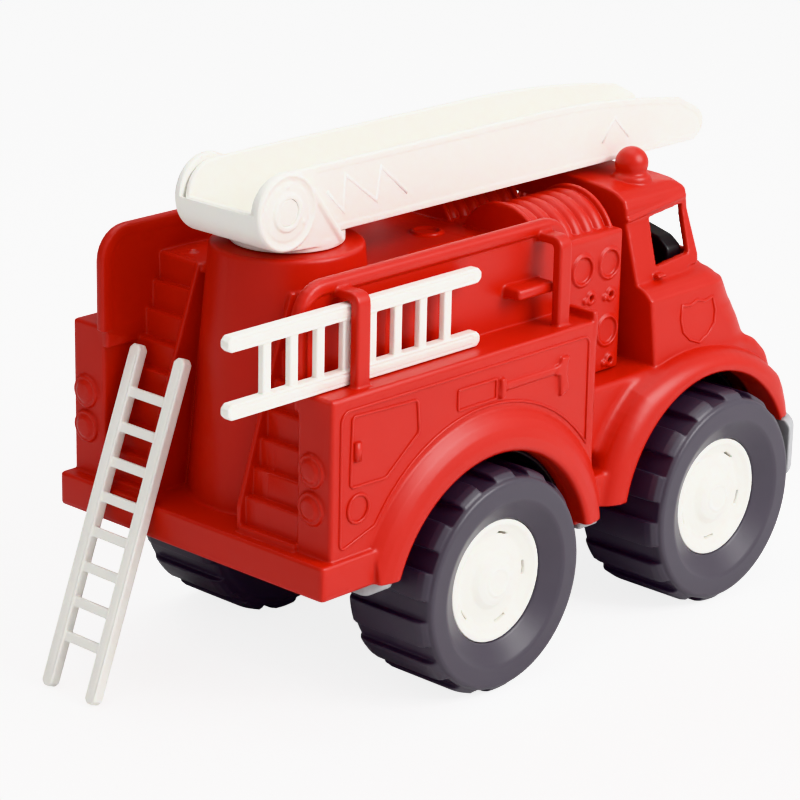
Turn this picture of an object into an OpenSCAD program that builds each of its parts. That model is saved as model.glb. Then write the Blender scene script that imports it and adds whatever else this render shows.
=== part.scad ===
// Toy fire engine: moulded plastic body on a chassis, four wheels on fixed axles,
// a boom that slews and tilts, a ladder held in side brackets and a loose ladder.
// Lengths are in millimetres, +X is the front, +Y the left side, +Z up.
// Modules are drawn from the rear axle forwards; placed() then centres the whole.

/* [Wheels] */
// Distance between the two axles
wheelbase = 126.3; // [120:0.1:132]
// Outside diameter of a tyre over its lugs
wheel_d = 83.8; // [80:0.1:86]
// Distance over the outer faces of the tyres
track_w = 150; // [146:0.5:154]
// Width of one tyre
tyre_w = 41; // [36:0.5:42]
// Diameter of the white hub inside the tyre
hub_d = 49; // [46:0.5:52]
// Number of tread lugs round a tyre
lug_count = 14; // [12:1:18]
// Diameter of an axle
axle_d = 9; // [8:0.1:10]

/* [Body] */
// Distance over the side lockers
locker_w = 131; // [128:0.5:134]
// Height of the shelf on top of the lockers
shelf_z = 126.5; // [124:0.5:128]
// Distance over the upper side walls, without their rails
wall_w = 99; // [96:0.5:101]
// Height of the rail on top of the side walls
rail_z = 163.3; // [162:0.1:164]
// Height of the deck between the walls
deck_z = 150; // [147:0.5:151]
// Top radius of the tower under the boom
tower_r = 27.6; // [25:0.1:29]
// Height of the tower's top
tower_z = 161.1; // [160:0.1:161.4]
// Wall thickness of the mouldings
skin = 2.5; // [2:0.1:3]

/* [Boom] */
// Height of the boom's pivot
pivot_z = 178.5; // [178:0.1:180]
// Distance of the boom's tip ahead of the rear axle
boom_tip = 174.3; // [165:0.1:176]
// Width of the boom
boom_w = 35.2; // [33:0.1:35.4]
// Diameter of the trunnions that the boom tilts on
trunnion_d = 9.6; // [8:0.1:10]

/* [Ladders] */
// Length of the loose ladder
ladder_l = 127; // [120:0.5:130]
// Width over a ladder's rails
ladder_w = 28.7; // [26:0.1:29]
// Thickness of a ladder
ladder_t = 4.4; // [3:0.1:5]
// Number of rungs
rung_count = 8; // [6:1:9]
// Angle between the loose ladder and upright
lean = 20.6; // [20:0.1:22]

/* [Fits] */
// Radial clearance of every running fit
run_fit = 0.06; // [0.03:0.01:0.09]
// Gap between mouldings that lie against each other
seam = 0.1; // [0.05:0.05:0.2]

/* [Hidden] */

red = "#d8382c";
white = "#f4f3ec";
black = "#2a2a30";
grey = "#b9b9ba";

big = 400;
wheel_r = wheel_d / 2;
axle_r = axle_d / 2;
hub_r = hub_d / 2;
half_track = track_w / 2;
tyre_in = half_track - tyre_w;
locker_y = locker_w / 2;
wall_y = wall_w / 2;

// Rear body stations, measured forwards from the rear axle
locker_back = -80;
locker_front = 57;
locker_in = 49;
step_back = -85.7;
step_y = 67.4;
step_top = 69;
step_low = 56.2;
locker_low = 78;
sill_z = 51;
pump_front = 94;
pump_y = 45.3;
pump_low = 96;
rail_y = wall_y + 2;
rail_back = -82;

// Wheel arches: centre, radius of the opening and how far its lip stands out
rear_arch = [-2, 38.8, 51, 71.4];
front_arch = [wheelbase - 0.9, 41, 49.4, 66.7];
// Section of an arch's flare: steps outwards from the opening and inwards from the lip
rear_flare = [[0, 1.2], [1.6, 0], [5.5, 0.2], [9, 1.2], [12, 2.8], [14.5, 4.8], [17, 8]];
front_flare = [[0, 1.3], [1, 0.3], [2.2, 0], [4.2, 0.3], [6.2, 1.5], [8, 3.5], [9.4, 6.1],
               [10.6, 9.3], [11.6, 13.7], [12.6, 18.7]];

// Stairs
tread_rise = 9.8;
tread_run = 3.4;
tread_count = 8;
stair_back = -54.6;
stair_in = 27.5;

// Tower, yoke and boom
tower_x = -37.1;
tower_flare = 7.9;
pivot_x = -57.4;
boom_r = 12.4;
barrel_r = 14.1;
yoke_base_r = 20.5;
cheek_in = 18;
cheek_out = 20.8;
spigot_r = 9;
boom_top = 191.3;
boom_arc_start = 75;
boom_arc_drop = 0.00098;
boom_wall = 2.2;

// Hose reels
reel_y = 22.5;
reel_z = 141.5;
reel_r = 21.3;
reel_back = 53;
reel_front = 89.5;

// Cab stations
cab_back = 101.5;
cab_y = 57.4;
shoulder_z = 121;
cab_roof = 162.6;
glass_front = 137;
beacon_x = 119.5;
beacon_y = 27;
beacon_r = 6.4;
nose_x = 180;
bumper_x = 185.3;

// Side ladder and its brackets
ladder_back = -119.8;
side_ladder_l = 121.5;
ladder_y = -55.4;
strap_x = [-61.3, 42];
strap_w = 6.5;
strap_out = 62;
strap_in = 58.1;
strap_top = 160;

x_mid = (ladder_back + bumper_x) / 2;

// ---------- shared shapes ----------

// Moves the drawing frame to the middle of the whole model
module placed() {
  translate([-x_mid, 0, 0]) children();
}

// A box from its lowest to its highest corner
module span(low, high) {
  translate(low) cube(high - low);
}

// A cylinder along Y from y0 to y1, centred on x, z
module y_rod(x, z, r, y0, y1, fn = 96) {
  translate([x, y0, z]) rotate([-90, 0, 0]) cylinder(r = r, h = y1 - y0, $fn = fn);
}

// A side view, drawn in x and z, given a thickness from y0 to y1
module side_plate(y0, y1) {
  translate([0, y1, 0]) rotate([90, 0, 0]) linear_extrude(y1 - y0) children();
}

// A profile of radius and distance from the mid-plane, spun about an axle at x, z
module spun(x, z) {
  translate([x, 0, z]) rotate([90, 0, 0]) rotate_extrude($fn = 120) children();
}

// The same shape on both sides of the truck
module both_sides() {
  children();
  mirror([0, 1, 0]) children();
}

// ---------- rear body ----------

// Flared wheel-arch ring on the right side, down to the sill
module fender(arch, flare) {
  lip = arch[3];
  r = arch[2];
  far = r + flare[len(flare) - 1][0];
  intersection() {
    spun(arch[0], arch[1])
      polygon(concat([[r, 40]], [for (p = flare) [r + p[0], lip - p[1]]], [[far, 40]]));
    span([arch[0] - big, -big, sill_z], [arch[0] + big, big, big]);
  }
}

// Room for both wheels of an axle
module wheel_wells(arch) {
  both_sides() y_rod(arch[0], arch[1], arch[2], -big, -tyre_in + 2);
}

// Staircase beside the tower, treads rising towards the front
module stairs() {
  steps = [for (k = [0:tread_count]) each [
    [stair_back - tread_run * k, deck_z - tread_rise * k],
    [stair_back - tread_run * k, deck_z - tread_rise * (k + 1) + 0.01]
  ]];
  foot = deck_z - tread_rise * tread_count;
  difference() {
    side_plate(-locker_in - 1, -stair_in)
      polygon(concat([[stair_back + 14, deck_z]], [for (p = steps) [p[0], max(p[1], step_top - 1)]],
                     [[stair_back + 14, step_top - 1]]));
    side_plate(-locker_in - 2, -stair_in - skin)
      polygon([[stair_back + skin + 2, deck_z - skin], [stair_back + 20, deck_z - skin],
               [stair_back + 20, step_top - 4],
               [stair_back - tread_run * tread_count + skin + 4, step_top - 4],
               [stair_back - tread_run * tread_count + skin + 4, foot]]);
  }
}

// Tower that carries the turntable, open below
module tower() {
  difference() {
    translate([tower_x, 0, step_top - skin])
      cylinder(r1 = tower_r + tower_flare, r2 = tower_r, h = tower_z - step_top + skin,
               $fn = 128);
    translate([tower_x, 0, step_top - 2 * skin])
      cylinder(r1 = tower_r + tower_flare - skin, r2 = tower_r - skin,
               h = tower_z - step_top - 1.5, $fn = 128);
  }
}

// Side view of the upper side wall, smaller by inset, from a given height upwards
function wall_outline(inset, low) = [
  [rail_back + inset, low], [rail_back + inset, rail_z - 12],
  [rail_back + 3.5 + 0.7 * inset, rail_z - 3.5 - 0.7 * inset],
  [rail_back + 12, rail_z - inset], [locker_front - 12, rail_z - inset],
  [locker_front - 3.5 - 0.7 * inset, rail_z - 3.5 - 0.7 * inset],
  [locker_front - inset, rail_z - 12], [locker_front - inset, low]
];

// Upper side wall with a rail round its back, top and front edges
module side_wall() {
  side_plate(-wall_y, -wall_y + skin) polygon(wall_outline(0, shelf_z - 1));
  span([locker_back, -wall_y, shelf_z - 6], [locker_front, -wall_y + skin, shelf_z]);
  side_plate(-rail_y, -wall_y + skin - 1) difference() {
    polygon(wall_outline(0, shelf_z - 1));
    polygon(wall_outline(5.4, shelf_z - 2));
  }
}

// Upright plate beside a staircase, between the heights of its steps
module stringer(y0, y1, foot, head) {
  side_plate(y0, y1) polygon([[foot, step_top - 1], [foot, 79], [head, deck_z], [-44, deck_z],
                              [-44, step_top - 1]]);
}

// Round lamp on the back of a locker
module lamp(y, z) {
  translate([locker_back + 1, y, z]) rotate([0, -90, 0]) {
    cylinder(r = 6, h = 2, $fn = 64);
    cylinder(r = 4.4, h = 2.4, $fn = 64);
  }
}

// Raised outline of a panel on a locker's side
module panel_frame(points, w) {
  side_plate(-locker_y - 0.6, -locker_y + 1) difference() {
    polygon(points);
    offset(delta = -w) polygon(points);
  }
}

// Panels, cabinet door, cap and axe moulded on a locker's side
module side_detail() {
  panel_frame([[-75.6, 72.4], [-75.6, 121.5], [52, 121.5], [52, 72.4], [30, 100.5],
               [-34, 100.5], [-46.1, 89.5], [-57.1, 82], [-64.5, 72.4]], 0.9);
  panel_frame([[-70.3, 119.2], [-38.5, 118.4], [-37.4, 106], [-53.7, 93.3], [-71, 93.7]], 0.9);
  span([-69.4, -locker_y - 1.4, 102.9], [-65.9, -locker_y + 1, 109.5]);
  y_rod(-67, 85.6, 5.2, -locker_y - 0.7, -locker_y + 1, 64);
  panel_frame([[-17.8, 109], [2, 109], [2, 116.4], [-17.8, 116.4]], 0.9);
  span([5, -locker_y - 1, 111.2], [35, -locker_y + 1, 114]);
  span([3.4, -locker_y - 1.8, 108.6], [6.2, -locker_y + 1, 116.2]);
  side_plate(-locker_y - 1.4, -locker_y + 1)
    polygon([[33, 110.8], [35, 110.6], [36, 101.4], [41, 103.6], [39.6, 109], [39.6, 114.2],
             [41, 116.8], [36.4, 117.2], [35, 114.4], [33, 114.2]]);
}

// Gauges and knobs on the side of the pump house
module pump_detail() {
  for (p = [[70.9, 137.8], [86.1, 137.9], [86.2, 111.8]]) {
    difference() {
      y_rod(p[0], p[1], 6.3, -pump_y - 0.9, -pump_y + 1, 64);
      y_rod(p[0], p[1], 5, -pump_y - 2, -pump_y - 0.2, 64);
    }
    y_rod(p[0], p[1], 3.2, -pump_y - 0.7, -pump_y + 1, 48);
  }
  for (p = [[76.1, 126.3], [87.4, 125.6], [88.2, 99.8]])
    y_rod(p[0], p[1], 2.1, -pump_y - 1.3, -pump_y + 1, 48);
}

// Bracket that a ladder slides through: an arm from the wall and an upright bar
module strap(x) {
  side_x0 = x - strap_w / 2;
  span([side_x0, -strap_out, shelf_z - 1], [side_x0 + strap_w, -strap_in, strap_top]);
  span([side_x0, -strap_out, strap_top - 3.6], [side_x0 + strap_w, -wall_y + 1, strap_top]);
}

// Hose reel: a drum with two flanges and four turns of hose
module reel() {
  pitch = (reel_front - reel_back - 12) / 4;
  translate([reel_back, -reel_y, reel_z]) rotate([0, 90, 0]) {
    cylinder(r = reel_r, h = 1.8, $fn = 96);
    cylinder(r = reel_r - 5, h = reel_front - reel_back, $fn = 96);
    for (k = [0:3]) translate([0, 0, 3 + pitch * (k + 0.5)])
      rotate_extrude($fn = 96) translate([reel_r - 5.4, 0]) circle(d = pitch - 0.2, $fn = 24);
    translate([0, 0, reel_front - reel_back - 1.8]) cylinder(r = reel_r, h = 1.8, $fn = 96);
  }
}

module locker_block() {
  difference() {
    union() {
      span([locker_back, -locker_y, step_top - 1], [locker_front, -locker_in, shelf_z]);
      span([-70, -locker_y - 1, sill_z], [locker_front, -tyre_in - 8, step_top]);
      // lip that stops a ladder at the front end of the shelf
      span([locker_front - 2.4, -locker_y, shelf_z - 1], [locker_front, -wall_y, shelf_z + 3.4]);
      fender(rear_arch, rear_flare);
    }
    span([locker_back + skin, -locker_y + skin, step_top + skin],
         [locker_front - skin, -locker_in - skin, shelf_z - skin]);
  }
}

module rear_body() {
  color(red) placed() difference() {
    union() {
      both_sides() {
        locker_block();
        stairs();
        side_wall();
        reel();
        side_detail();
        pump_detail();
        span([22, -57.5, 138.4], [41.5, -wall_y + 1, 142.6]);
      }
      stringer(-22.6, -20.6, -81.2, -57);
      stringer(25.6, 27.6, -80.8, -55.6);
      for (p = [[-56.2, 99.9], [-56.2, 86.4], [58.4, 100.5], [58.4, 87.3]]) lamp(p[0], p[1]);
      // filler ring on the deck
      translate([35, 0, deck_z - 1]) cylinder(r = 6.1, h = 2, $fn = 64);
      strap(strap_x[0]);
      strap(strap_x[1]);
      mirror([0, 1, 0]) for (x = strap_x) strap(x);
      tower();
      // step across the back, and the floor of the bay above it
      span([step_back, -step_y, step_low], [-45, step_y, step_top]);
      // deck, and the bulkhead under its rear edge
      span([stair_back, -wall_y + 1, deck_z - skin], [reel_front + 1, wall_y - 1, deck_z]);
      span([stair_back + 12, -locker_in - 1, step_top - 1],
           [stair_back + 14, locker_in + 1, shelf_z - 3]);
      span([stair_back + 12, -wall_y + 1, shelf_z - 5], [stair_back + 14, wall_y - 1, deck_z]);
      // pump house with the hose reels let into its top
      span([locker_front - 20, -pump_y, pump_low], [pump_front, pump_y, deck_z]);
    }
    wheel_wells(rear_arch);
    // shallow tray in the deck
    span([10, -44.5, deck_z - 1.2], [45, -15, deck_z + 1]);
    translate([35, 0, deck_z]) cylinder(r = 4.4, h = 2, $fn = 64);
    // hollow of the pump house and of the space under the deck
    span([stair_back + 14, -pump_y + skin, pump_low - 1],
         [pump_front - skin, pump_y - skin, deck_z - skin]);
    span([stair_back + 14, -pump_y, sill_z - 1], [locker_front - skin, pump_y, deck_z - 3 * skin]);
    // hollow under the step
    span([step_back + skin, -step_y + skin, step_low - 1], [-45, step_y - skin, step_top - skin]);
    // inside of the tower and the bearing hole for the turntable
    translate([tower_x, 0, step_top - 3 * skin])
      cylinder(r = tower_r - skin - 0.5, h = tower_z - step_top + 3 * skin - 3.5, $fn = 128);
    translate([tower_x, 0, tower_z - 10]) cylinder(r = spigot_r + run_fit, h = 20, $fn = 96);
    // nothing of the body reaches below the sill or into the front arches
    span([-big, -big, -1], [big, big, sill_z]);
    span([locker_front, -big, -1], [big, big, pump_low]);
  }
}

// ---------- cab ----------

// Rear view of the cab above the deck line, right half and left half
function cab_outline(inset) =
  let (half = [[cab_y - inset, sill_z + 20], [cab_y - inset, 95.6], [54.6 - inset, 119.5],
               [52.6 - inset, 123.5], [48.2 - inset, 126.4], [40.1 - inset, 148.5],
               [40.3 - inset, 150.6], [38.6 - inset, 155.2], [34.4 - inset, 159.2 - inset],
               [28 - inset, 161.3 - inset], [14, 162.4 - inset]])
  concat([for (p = half) [-p[0], p[1]]], [for (k = [len(half) - 1:-1:0]) half[k]]);

// Side view of the cab: nose, cowl, screen and roof
function cab_side(inset) = [
  [cab_back + inset, sill_z - 1], [cab_back + inset, cab_roof + 1 - inset],
  [127, cab_roof + 1 - inset], [133 - inset, 159.6 - inset], [glass_front - inset, 154],
  [glass_front + 2 - inset, 129 - inset], [143 - inset, 127 - inset],
  [150.6 - inset, 121 - inset], [157 - inset, 112 - inset], [163 - inset, 100 - inset],
  [168.5 - inset, 90 - inset], [174 - inset, 80 - inset], [178.6 - inset, 68],
  [178.6 - inset, sill_z - 1]
];

// A view along the truck, drawn in y and z, swept from x0 to x1
module along(x0, x1) {
  translate([x0, 0, 0]) rotate([90, 0, 90]) linear_extrude(x1 - x0) children();
}

// Plan of the cab with rounded corners at the nose
module cab_plan(inset) {
  r = 24 - inset;
  half = cab_y - inset;
  translate([cab_back + inset, -half]) square([nose_x - r - cab_back - 2 * inset, 2 * half]);
  translate([nose_x - r - inset - 1, -half + r]) square([r + 1, 2 * (half - r)]);
  for (s = [-1, 1]) translate([nose_x - r - inset, s * (half - r)]) circle(r = r, $fn = 96);
}

module cab_block(inset) {
  intersection() {
    along(cab_back + inset, nose_x - inset) polygon(cab_outline(inset));
    side_plate(-big, big) polygon(cab_side(inset));
    translate([0, 0, sill_z - 2]) linear_extrude(200) cab_plan(inset);
  }
}

// Door window, seen from the side
module door_window() {
  side_plate(-big, big)
    polygon([[114.3, 132], [131.6, 132], [130.4, 150.4], [114.8, 150.4]]);
}

// Windscreen opening, seen from the front
module windscreen() {
  along(glass_front - 8, nose_x) polygon([[-37, 134], [37, 134], [32, 151.5], [-32, 151.5]]);
}

module beacon() {
  translate([beacon_x, -beacon_y, cab_roof - 5]) {
    cylinder(r = beacon_r, h = 10.6, $fn = 64);
    translate([0, 0, 10.4]) scale(1) sphere(r = beacon_r - 0.4, $fn = 64);
    cylinder(r = beacon_r + 1.2, h = 5, $fn = 64);
  }
}

module cab_shell() {
  color(red) placed() difference() {
    union() {
      difference() {
        union() {
          cab_block(0);
          both_sides() fender(front_arch, front_flare);
          // sill behind the front arches
          both_sides() span([locker_front + seam, -66, sill_z], [84, -48, 67]);
          // low deck between the pump house and the cab
          span([locker_front + seam, -52, 70], [cab_back + 2, 52, 95.6]);
        }
        cab_block(skin);
        span([locker_front + seam + skin, -49.5, 40], [cab_back + 20, 49.5, 93.1]);
      }
      // front panel behind the bumper, and the ledge above it
      span([168.4, -40, sill_z], [171, 40, 65]);
      span([168.4, -50, 62.5], [nose_x - 2, 50, 65]);
      both_sides() beacon();
      both_sides() span([107, -50.6, 128], [112.5, -44, 129.8]);
    }
    wheel_wells(front_arch);
    door_window();
    windscreen();
    // inside of the cab above the belt line
    along(cab_back + skin, glass_front - 1) polygon(cab_outline(skin));
    span([-big, -big, -1], [big, big, sill_z]);
    // clear of the lockers behind and of the pump house above
    span([-big, -big, -1], [locker_front + seam, big, big]);
    span([-big, -pump_y - seam, pump_low - seam], [pump_front + seam, pump_y + seam, big]);
    // clear of the bumper, and cut off level with the nose
    span([171.1, -big, -1], [big, big, 62.4]);
    span([nose_x - 1.4, -big, -1], [big, big, big]);
  }
}

// Bench seat, dashboard and floor of the cab
module cab_interior() {
  color(black) placed() {
    span([cab_back + skin + 1, -44, 101], [134, 44, 104]);
    span([cab_back + skin + 1, -40, 103], [118, 40, 118]);
    span([cab_back + skin + 1, -40, 103], [cab_back + skin + 8, 40, 138]);
    span([126, -40, 103], [134, 40, 127]);
    span([129, -36, 126], [133.8, 36, 133.8]);
  }
}

// ---------- chassis ----------

// Black lining over a pair of wheels
module arch_liner(arch, out) {
  r = arch[2] - seam;
  difference() {
    both_sides() difference() {
      y_rod(arch[0], arch[1], r, -out, -tyre_in + 2 - 0.1);
      y_rod(arch[0], arch[1], r - 1.6, -out - 1, -tyre_in + 0.4);
    }
    span([-big, -big, -big], [big, big, sill_z + 1]);
    span([171, -big, -big], [big, big, 64]);
  }
  span([arch[0] - 4.4, -tyre_in + 1, arch[1] + 30], [arch[0] + 5, tyre_in - 1, arch[1] + 33]);
}

module front_arch_liner() {
  color(black) placed() arch_liner(front_arch, 48);
}

module rear_arch_liner() {
  color(black) placed() arch_liner(rear_arch, 62);
}

// Block under the plate that an axle passes through
module axle_block(x) {
  difference() {
    span([x - 8, -tyre_in + 3.5, wheel_r - 9], [x + 8, tyre_in - 3.5, sill_z - 0.4]);
    y_rod(x, wheel_r, axle_r + run_fit, -big, big);
  }
}

module chassis_frame() {
  inner = tyre_in - 3.5;
  top = sill_z - 0.4;
  color(grey) placed() {
    difference() {
      union() {
        span([-30, -inner, 43.5], [bumper_x - 8, inner, top]);
        span([-66, -inner, 47], [-29, inner, top]);
        // outriggers behind the rear wheels and between the axles
        span([-66, -62, 47], [-50, 62, top]);
        span([51, -65, 45], [64, 65, top]);
      }
      for (x = [0, wheelbase]) span([x - 7.9, -big, 32], [x + 7.9, big, 60]);
      // pockets in the underside that leave ribs round the middle face
      for (x = [14, 84]) span([x, -inner + 3, 42], [x + 30, inner - 3, top - 2.6]);
    }
    axle_block(0);
    axle_block(wheelbase);
    // bumper with round ends
    difference() {
      translate([0, 0, 38]) linear_extrude(24) union() {
        translate([bumper_x - 14, -54]) square([14, 108]);
        for (s = [-1, 1]) translate([bumper_x - 18, s * 53]) intersection() {
          circle(r = 18, $fn = 72);
          translate([4, -18]) square([14, 36]);
        }
      }
      span([bumper_x - 17, -68, 37], [bumper_x - 3, 68, 43]);
    }
  }
}

// Axle with a snap head at each end
module axle(x) {
  color(grey) placed() {
    y_rod(x, wheel_r, axle_r, -63, 63);
    for (s = [-1, 1]) y_rod(x, wheel_r, axle_r + 0.7, s * 64.6 - 1.6, s * 64.6 + 1.6);
  }
}

module front_axle() axle(wheelbase);
module rear_axle() axle(0);

// ---------- wheels ----------

// Right-hand tyre on an axle at x = 0
module tyre_shape() {
  core_r = wheel_r - 2.7;
  y0 = tyre_in;
  y1 = half_track;
  translate([0, 0, wheel_r]) rotate([90, 0, 0]) {
    rotate_extrude($fn = 120)
      polygon([[hub_r + 0.05, y0], [core_r - 3, y0], [core_r, y0 + 3], [core_r, y1 - 2.4],
               [core_r - 0.9, y1 - 0.7], [core_r - 3, y1], [31.4, y1], [30.2, y1 - 0.6],
               [hub_r - 1.4, y1 - 5], [hub_r - 1.4, y1 - 7], [hub_r + 0.05, y1 - 7]]);
    difference() {
      rotate_extrude($fn = 120)
        polygon([[core_r - 2, y0 + 1.5], [wheel_r - 2, y0 + 1.5], [wheel_r, y0 + 5],
                 [wheel_r, y1 - 5], [wheel_r - 2.4, y1 - 2.2], [core_r - 2, y1 - 2.2]]);
      for (k = [0:lug_count - 1]) rotate([0, 0, k * 360 / lug_count])
        translate([core_r - 0.02, -4, y0 - 1]) cube([10, 8, tyre_w + 2]);
    }
  }
}

// Right-hand hub: a dished face on a drum and a sleeve that turns on the axle
module hub_shape() {
  y0 = tyre_in + 2;
  y1 = half_track - 4.9;
  sleeve = axle_r + run_fit;
  translate([0, 0, wheel_r]) rotate([90, 0, 0]) rotate_extrude($fn = 120)
    polygon([[sleeve, y0 + 4], [8, y0 + 4], [8, y1 - 9], [hub_r - 3, y1 - 9],
             [hub_r - 3, y0 + 6], [hub_r, y0 + 6], [hub_r, y1 - 2.2], [hub_r - 1.6, y1 - 2.2],
             [hub_r - 1.6, y1], [hub_r - 3.4, y1], [hub_r - 5, y1 - 2.4], [11, y1 - 1.6],
             [9, y1 + 0.4], [7, y1 + 1], [0, y1 + 1.2], [0, y1 - 2], [axle_r + 0.9, y1 - 2],
             [axle_r + 0.9, 62.8], [sleeve, 62.8]]);
}

// Hub with five short slots in its face
module slotted_hub() {
  difference() {
    hub_shape();
    for (a = [0:72:288]) translate([0, 0, wheel_r]) rotate([90, 0, 0]) rotate([0, 0, a])
      translate([16.6, -2.9, half_track - 9]) cube([1.4, 5.8, 10]);
  }
}

module right_wheel(x) {
  placed() translate([x, 0, 0]) children();
}

module left_wheel(x) {
  placed() translate([x, 0, 0]) mirror([0, 1, 0]) children();
}

module tyre_front_right() { color(black) right_wheel(wheelbase) tyre_shape(); }
module tyre_front_left() { color(black) left_wheel(wheelbase) tyre_shape(); }
module tyre_rear_right() { color(black) right_wheel(0) tyre_shape(); }
module tyre_rear_left() { color(black) left_wheel(0) tyre_shape(); }
module hub_front_right() { color(white) right_wheel(wheelbase) slotted_hub(); }
module hub_front_left() { color(white) left_wheel(wheelbase) slotted_hub(); }
module hub_rear_right() { color(white) right_wheel(0) slotted_hub(); }
module hub_rear_left() { color(white) left_wheel(0) slotted_hub(); }

// ---------- turntable and boom ----------

// Cradle for the boom on a round base, with a snap spigot down into the tower
module turntable_yoke() {
  base_z = tower_z + 0.3;
  base_top = pivot_z - boom_r - 0.6;
  tangent = [pivot_x + barrel_r * cos(39), pivot_z + barrel_r * sin(39)];
  front_x = tower_x + sqrt(pow(yoke_base_r, 2) - pow(cheek_in, 2));
  color(white) placed() difference() {
    union() {
      translate([tower_x, 0, base_z]) cylinder(r = yoke_base_r, h = base_top - base_z, $fn = 96);
      both_sides() {
        y_rod(pivot_x, pivot_z, barrel_r, -cheek_out, -cheek_in);
        y_rod(pivot_x, pivot_z, 6.8, -cheek_out - 0.9, -cheek_in);
        side_plate(-cheek_out, -cheek_in)
          polygon([tangent, [front_x, base_z + 1], [pivot_x, base_z + 3], [pivot_x, pivot_z]]);
      }
      // barrel wall that joins the cheeks behind and below the boom
      difference() {
        y_rod(pivot_x, pivot_z, barrel_r, -cheek_in, cheek_in);
        y_rod(pivot_x, pivot_z, boom_r + 0.4, -big, big);
        span([-big, -big, pivot_z + 1], [big, big, big]);
        span([pivot_x, -big, -1], [big, big, big]);
      }
      // spigot and the lip that snaps under the tower's top
      translate([tower_x, 0, tower_z - 9]) cylinder(r = spigot_r, h = 10, $fn = 96);
      translate([tower_x, 0, tower_z - 8])
        cylinder(r1 = spigot_r, r2 = spigot_r + 1.2, h = 4, $fn = 96);
    }
    translate([tower_x, 0, tower_z - 10]) cylinder(r = spigot_r - 3, h = 9, $fn = 64);
    y_rod(pivot_x, pivot_z, trunnion_d / 2 + run_fit, -big, big);
    span([pivot_x - boom_r - 0.4, -cheek_in, pivot_z - 1], [pivot_x + 60, cheek_in, big]);
    y_rod(pivot_x, pivot_z, boom_r + 0.4, -cheek_in, cheek_in);
  }
}

// Height of the boom's rim at a station along it
function rim_z(x) = boom_top - boom_arc_drop * pow(max(x - boom_arc_start, 0), 2);

// Side view of the boom, smaller all round by inset
function boom_side(inset) =
  let (bottom = pivot_z - boom_r + inset, tip = boom_tip - inset,
       back = [for (a = [270:-10:100]) [pivot_x + (boom_r - inset) * cos(a),
                                        pivot_z + (boom_r - inset) * sin(a)]],
       rim = [for (x = [pivot_x:12:162]) [x, rim_z(x) - inset]],
       nose = [for (a = [60:-15:-60]) [tip - 11.5 + 11.5 * cos(a), 173 + 8 * sin(a)]])
  concat(back, rim, nose, [[tip - 6, bottom]]);

// Open-topped trough with rounded ends and a trunnion on each side
module boom() {
  color(white) placed() {
    difference() {
      side_plate(-boom_w / 2, boom_w / 2) polygon(boom_side(0));
      difference() {
        side_plate(-boom_w / 2 + boom_wall, boom_w / 2 - boom_wall)
          translate([0, boom_wall]) polygon(concat(
            [for (a = [270:-10:180]) [pivot_x + (boom_r - boom_wall) * cos(a),
                                      pivot_z - boom_wall + (boom_r - boom_wall) * sin(a)]],
            [[pivot_x - boom_r + boom_wall, 220], [big, 220], [big, pivot_z - boom_r]]));
      }
      span([-big, -boom_w / 2 + boom_wall, pivot_z + 0.8],
           [pivot_x, boom_w / 2 - boom_wall, big]);
    }
    for (s = [-1, 1]) translate([0, s * 19.3, 0])
      y_rod(pivot_x, pivot_z, trunnion_d / 2, -2.1, 2.1);
  }
}

// ---------- ladders ----------

// Flat ladder along +X from the origin, its width in Z and its thickness in Y, with the
// distances of its first and last rung from the rails' ends
module ladder(length, first, last) {
  rail_w = 5.5;
  rung_w = 3.7;
  rung_t = ladder_t * 0.65;
  pitch = (length - first - last) / (rung_count - 1);
  for (z = [0, ladder_w - rail_w])
    side_plate(-ladder_t / 2, ladder_t / 2)
      polygon([[1.6, z], [length - 1.6, z], [length, z + 1.6], [length, z + rail_w - 1.6],
               [length - 1.6, z + rail_w], [1.6, z + rail_w], [0, z + rail_w - 1.6],
               [0, z + 1.6]]);
  for (k = [0:rung_count - 1])
    span([first + pitch * k - rung_w / 2, -rung_t / 2, rail_w - 0.5],
         [first + pitch * k + rung_w / 2, rung_t / 2, ladder_w - rail_w + 0.5]);
}

module side_ladder() {
  color(white) placed() translate([ladder_back, ladder_y, shelf_z + 0.3])
    ladder(side_ladder_l, 18.2, 16.1);
}

// The loose ladder stands on the floor and leans on the edge of the rear step
module loose_ladder() {
  gap = 0.3;
  foot_x = step_back - step_top * tan(lean) - (gap + ladder_t / 2) / cos(lean);
  color(white) placed() translate([foot_x + ladder_t / 2 * sin(lean) * tan(lean), 0, 0])
    translate([0, 30, ladder_t / 2 * sin(lean)]) rotate([0, lean, 0])
      rotate([0, -90, 0]) translate([0, 0, 0]) rotate([90, 0, 0])
        translate([0, 0, -ladder_w / 2]) ladder(ladder_l, 19.4, 17);
}

rear_body();
cab_shell();
cab_interior();
chassis_frame();
front_arch_liner();
rear_arch_liner();
front_axle();
rear_axle();
tyre_front_right();
tyre_front_left();
tyre_rear_right();
tyre_rear_left();
hub_front_right();
hub_front_left();
hub_rear_right();
hub_rear_left();
turntable_yoke();
boom();
side_ladder();
loose_ladder();
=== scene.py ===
"""Toy fire engine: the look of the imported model, built round its frame.

Lengths in the shapes below are millimetres, measured from the floor under the rear axle:
+X is the front, +Y the left side, +Z up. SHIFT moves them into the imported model's frame."""

import math

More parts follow.
